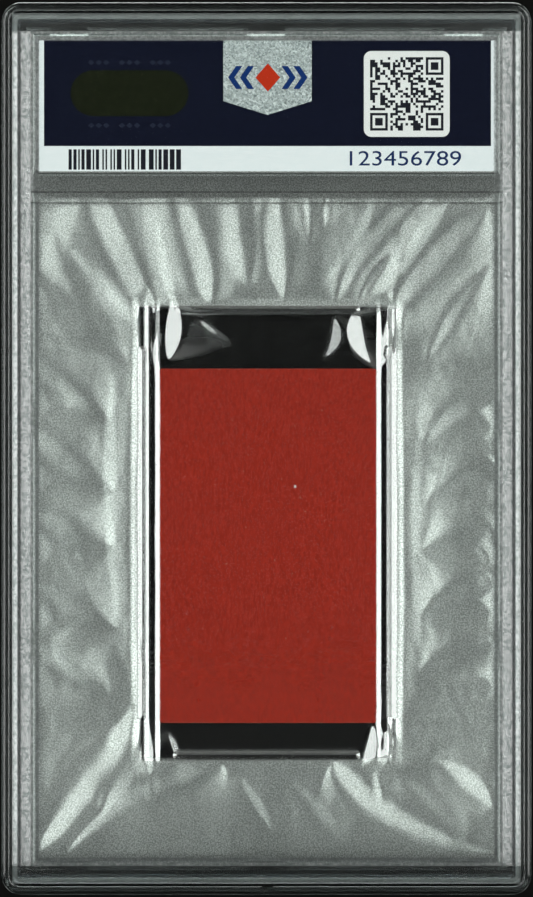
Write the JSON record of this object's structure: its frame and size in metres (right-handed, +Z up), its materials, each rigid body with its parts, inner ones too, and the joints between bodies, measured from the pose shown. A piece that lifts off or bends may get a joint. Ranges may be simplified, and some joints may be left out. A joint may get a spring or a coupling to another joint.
{
  "type": "graded card slab",
  "caption": "Sealed clear display slab for a graded card: welded shells, a printed label above a divider, and a small red-backed card in a loose film sleeve behind a clear window.",
  "frame": {"origin": "centre of the bottom edge, on the surface that the slab stands on", "axes": "+Z up the slab to its label end; -Y out of the back face, which carries the code and the serial number; +X to the right as the back face is seen"},
  "size_m": [0.0804, 0.0064, 0.1356],
  "materials": {
    "clear_shell": "gloss",
    "weld_plastic": "satin",
    "label_stock": "satin",
    "badge_foil": "satin",
    "security_foil": "satin",
    "sleeve_film": "gloss",
    "card_stock": "matte"
  },
  "bodies": {
    "case": {"back_shell": "clear_shell", "front_shell": "clear_shell", "weld_bead": "weld_plastic", "label_card": "label_stock", "label_badge_foil": "badge_foil", "label_security_foil": "security_foil", "sleeve_back_film": "sleeve_film", "sleeve_front_film": "sleeve_film"},
    "card": {"collectible_card": "card_stock"}
  },
  "joints": [
    {"name": "card_slide", "type": "slide", "parent": "case", "child": "card", "axis": [0, 0, 1], "range_m": [-0.004, 0.0081]}
  ]
}
